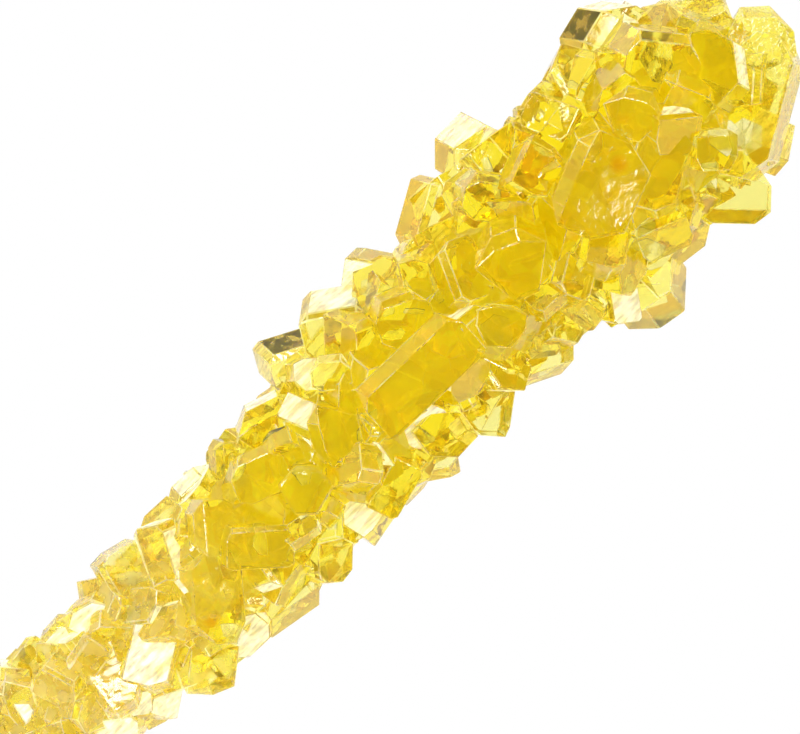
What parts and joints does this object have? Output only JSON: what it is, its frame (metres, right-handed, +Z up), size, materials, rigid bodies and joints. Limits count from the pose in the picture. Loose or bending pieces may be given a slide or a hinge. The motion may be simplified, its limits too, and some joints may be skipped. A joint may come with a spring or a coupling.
{
  "type": "rock candy stick",
  "caption": "Lemon-yellow rock candy: one fused mass of clear sugar crystals, small near the handle and blocky at the head, grown on a plain wooden dowel and lying on its side",
  "frame": {"origin": "on the table under the middle of the bounding box", "axes": "+X along the stick towards the crystal head, +Y across, +Z up from the table"},
  "size_m": [0.1694, 0.0262, 0.0234],
  "materials": {
    "sugar": "clear sugar crystal with frosted skins",
    "wood": "bare sanded birch"
  },
  "bodies": {
    "root": {"crystals": "sugar", "stick": "wood"}
  },
  "joints": []
}
